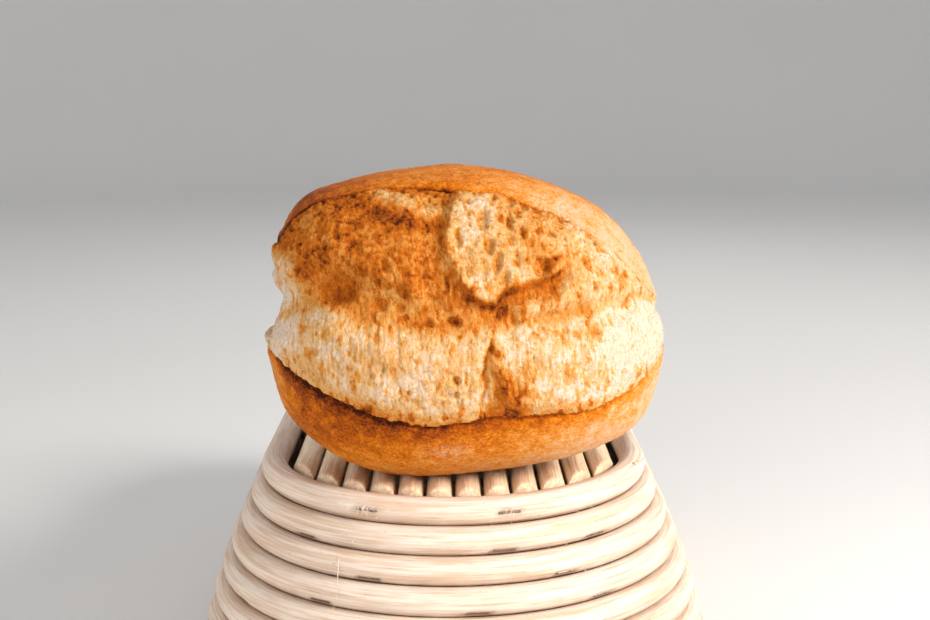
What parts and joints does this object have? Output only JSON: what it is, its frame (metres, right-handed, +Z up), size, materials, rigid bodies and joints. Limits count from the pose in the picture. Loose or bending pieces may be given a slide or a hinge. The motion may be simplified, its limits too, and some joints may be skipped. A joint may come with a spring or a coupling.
{
  "type": "bread roll on an upturned proofing basket",
  "caption": "Crusty oval bread roll with a burst top, standing on its side on the base of an upturned oblong coiled-cane proofing basket.",
  "frame": {"origin": "middle of the basket's rim, on the plane that the upturned basket stands on", "axes": "+Z up, +Y along the basket's long axis, the roll's burst side faces -Y, +X across the basket"},
  "size_m": [0.1579, 0.2718, 0.1642],
  "materials": {
    "bread": "matt baked crust, golden brown, with an open cream crumb in the burst",
    "cane": "bare pale rattan core with long tan streaks, dusted with flour",
    "rod": "bare tan rattan core, coarse grain",
    "staple": "dull dark wire"
  },
  "bodies": {
    "root": {"bread_roll": "bread", "wall_cane_1": "cane", "wall_cane_2": "cane", "wall_cane_3": "cane", "base_rod_01": "rod", "base_rod_02": "rod", "base_rod_03": "rod", "base_rod_04": "rod", "base_rod_05": "rod", "base_rod_06": "rod", "base_rod_07": "rod", "base_rod_08": "rod", "base_rod_09": "rod", "base_rod_10": "rod", "base_rod_11": "rod", "base_rod_12": "rod", "staple_01": "staple", "staple_02": "staple", "staple_03": "staple", "staple_04": "staple", "staple_05": "staple", "staple_06": "staple", "staple_07": "staple", "staple_08": "staple", "staple_09": "staple", "staple_10": "staple", "staple_11": "staple", "staple_12": "staple", "staple_13": "staple", "staple_14": "staple", "staple_15": "staple", "staple_16": "staple", "staple_17": "staple", "staple_18": "staple", "staple_19": "staple", "staple_20": "staple", "staple_21": "staple", "staple_22": "staple", "staple_23": "staple", "staple_24": "staple", "staple_25": "staple", "staple_26": "staple"}
  },
  "joints": []
}
